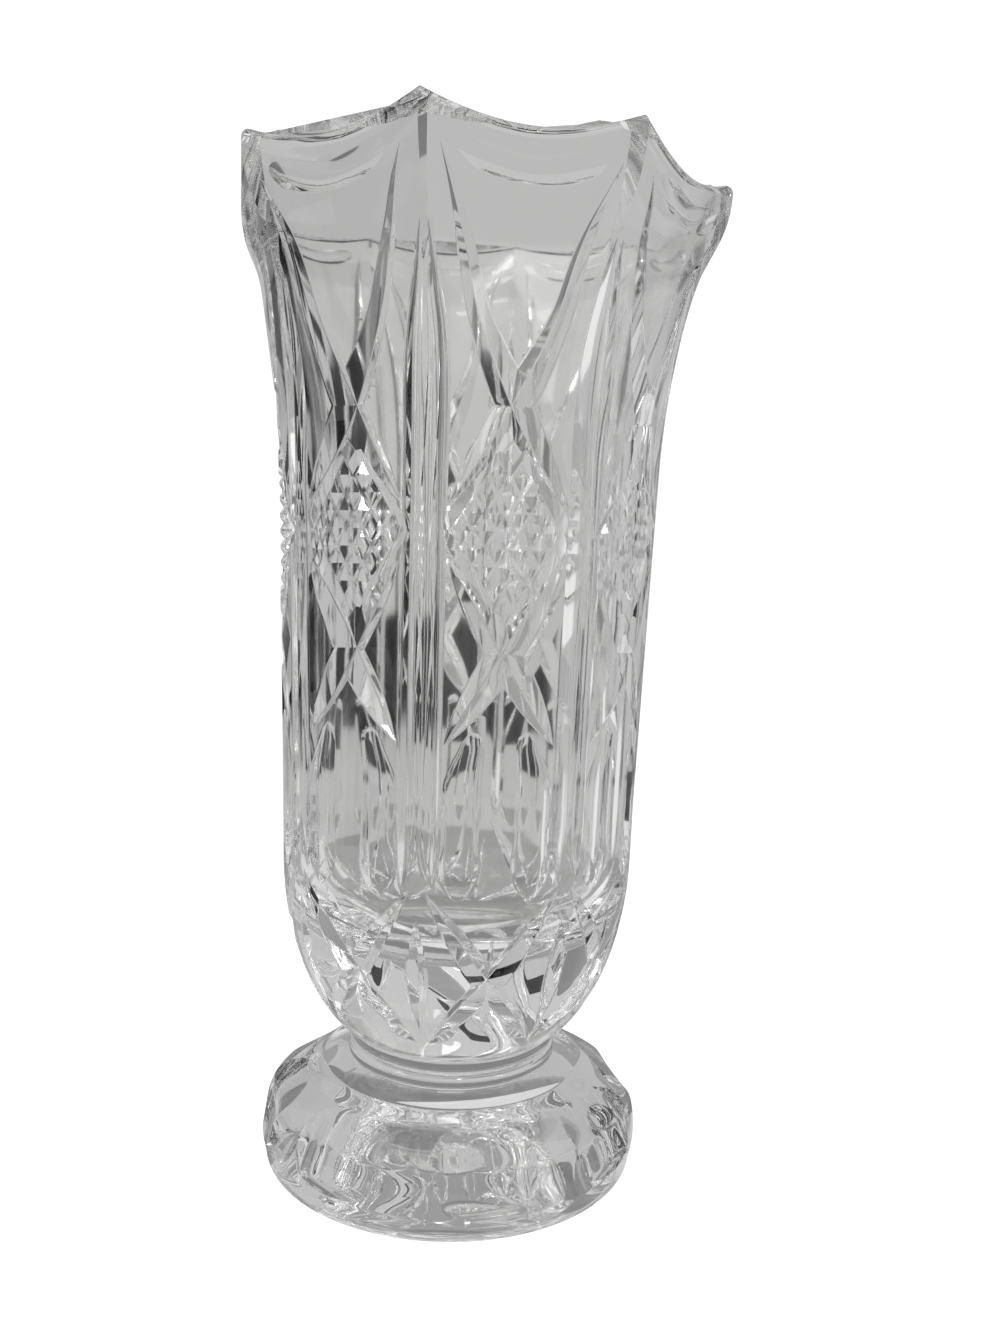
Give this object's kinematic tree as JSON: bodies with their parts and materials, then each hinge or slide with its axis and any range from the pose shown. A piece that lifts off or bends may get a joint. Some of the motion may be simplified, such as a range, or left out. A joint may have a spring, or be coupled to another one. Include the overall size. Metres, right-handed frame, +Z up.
{
  "type": "footed vase",
  "caption": "Tall clear pressed-glass vase on a domed foot, with a pointed scalloped rim, ribs, leaf cuts and a diamond-point lattice; holds cut flowers.",
  "frame": {"origin": "centre of the ring that the foot stands on", "axes": "+Z up along the vase's axis; one of the eight ribs faces -Y"},
  "size_m": [0.1272, 0.1272, 0.25],
  "materials": {
    "clear_glass": "fire-polished clear pressed glass with crisp moulded cuts"
  },
  "bodies": {
    "root": {"bowl": "clear_glass", "stem_collar": "clear_glass", "foot": "clear_glass"}
  },
  "joints": []
}
